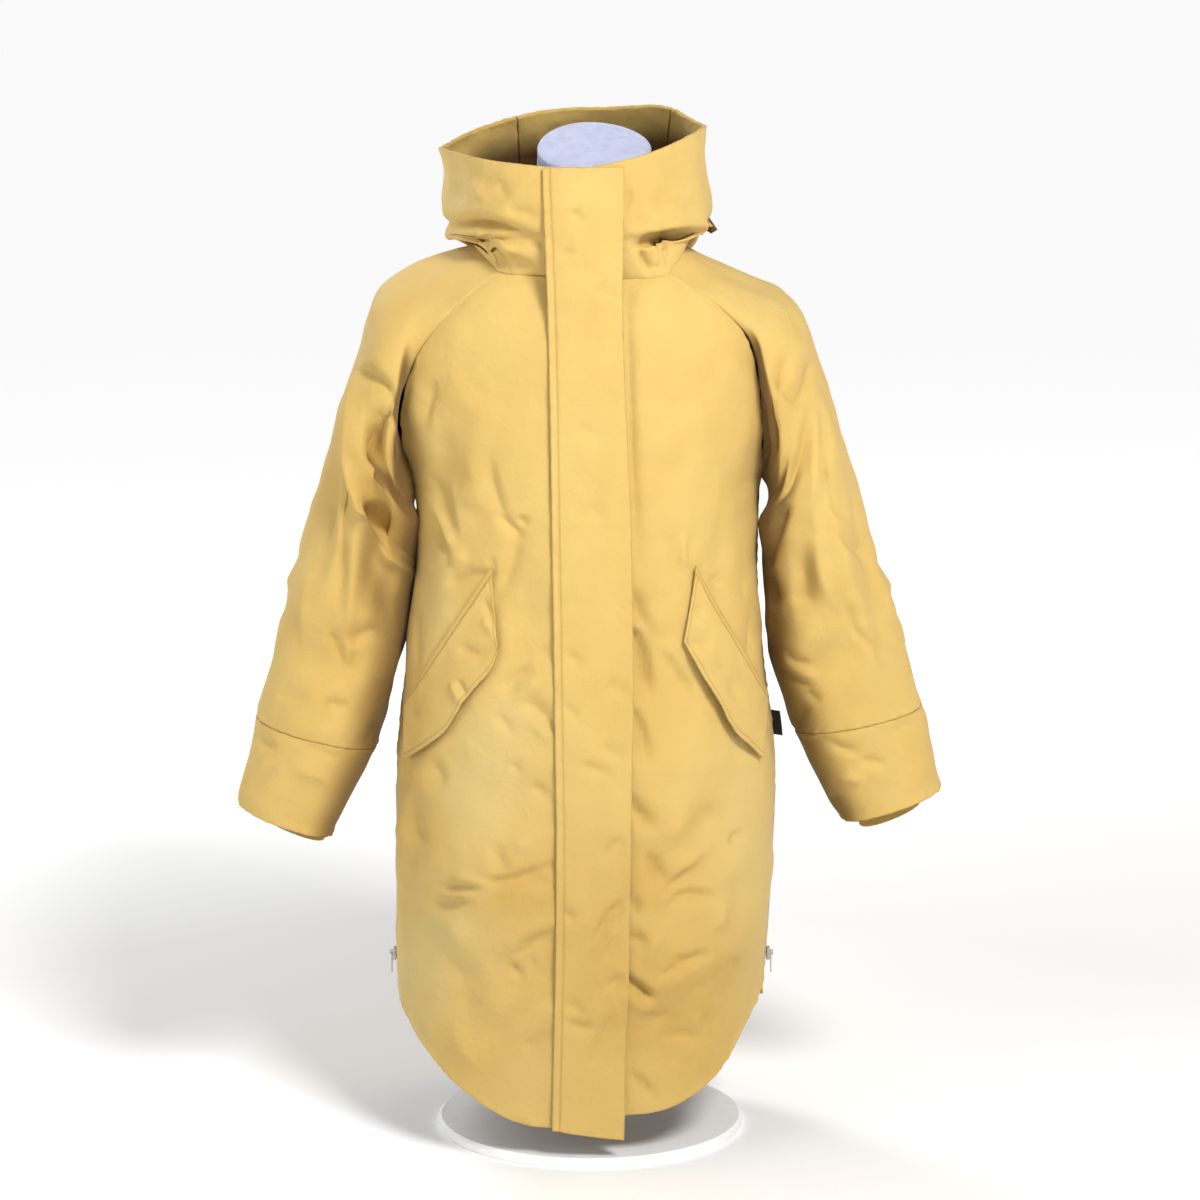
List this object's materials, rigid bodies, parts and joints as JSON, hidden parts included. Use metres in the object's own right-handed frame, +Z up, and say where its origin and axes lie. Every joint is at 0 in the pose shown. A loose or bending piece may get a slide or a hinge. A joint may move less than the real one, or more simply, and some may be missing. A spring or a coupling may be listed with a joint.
{
  "type": "winter jacket on a dress form",
  "caption": "Long padded winter jacket with raglan sleeves, hood, storm flap, slanted flap pockets and ribbed cuffs, worn by a limbless dress form on a round foot.",
  "frame": {"origin": "centre of the underside of the dress form's round foot", "axes": "+Z up the stand, -Y out of the jacket's front, +X towards the wearer's left"},
  "size_m": [0.7305, 0.3798, 1.0571],
  "materials": {
    "shell": "fine matt cotton-like weave, mustard yellow, padded and slightly crumpled",
    "knit": "rib knit, a shade darker than the shell",
    "zip": "woven zip tape with a moulded chain, tone on tone",
    "zip_metal": "dull nickel",
    "woven_tab": "plain black woven tape",
    "form_cover": "smooth white jersey cover",
    "stand_paint": "pale grey semi-matt paint"
  },
  "bodies": {
    "jacket": {"front_right": "shell", "front_left": "shell", "back": "shell", "sleeve_right": "shell", "sleeve_left": "shell", "cuff_right": "shell", "cuff_left": "shell", "knit_cuff_right": "knit", "knit_cuff_left": "knit", "hood_right": "shell", "hood_left": "shell", "hood_centre": "shell", "placket": "shell", "pocket_flap_right": "shell", "pocket_flap_left": "shell", "pocket_welt_right": "shell", "pocket_welt_left": "shell", "front_zip": "zip", "side_zip_right": "zip", "side_zip_left": "zip", "slider_right": "zip_metal", "slider_left": "zip_metal", "side_tab": "woven_tab", "form_torso": "form_cover", "form_neck_cap": "form_cover", "stand_pole": "stand_paint", "stand_foot": "stand_paint"},
    "pull_right": {"pull_tab_right": "zip_metal"},
    "pull_left": {"pull_tab_left": "zip_metal"}
  },
  "joints": [
    {"name": "pull_tab_right_turn", "type": "hinge", "parent": "jacket", "child": "pull_right", "pos_m": [-0.20765, 0, 0.183], "axis": [0, 1, 0], "range_deg": [0, 170]},
    {"name": "pull_tab_left_turn", "type": "hinge", "parent": "jacket", "child": "pull_left", "pos_m": [0.18923, 0, 0.183], "axis": [0, -1, 0], "range_deg": [0, 170]}
  ]
}
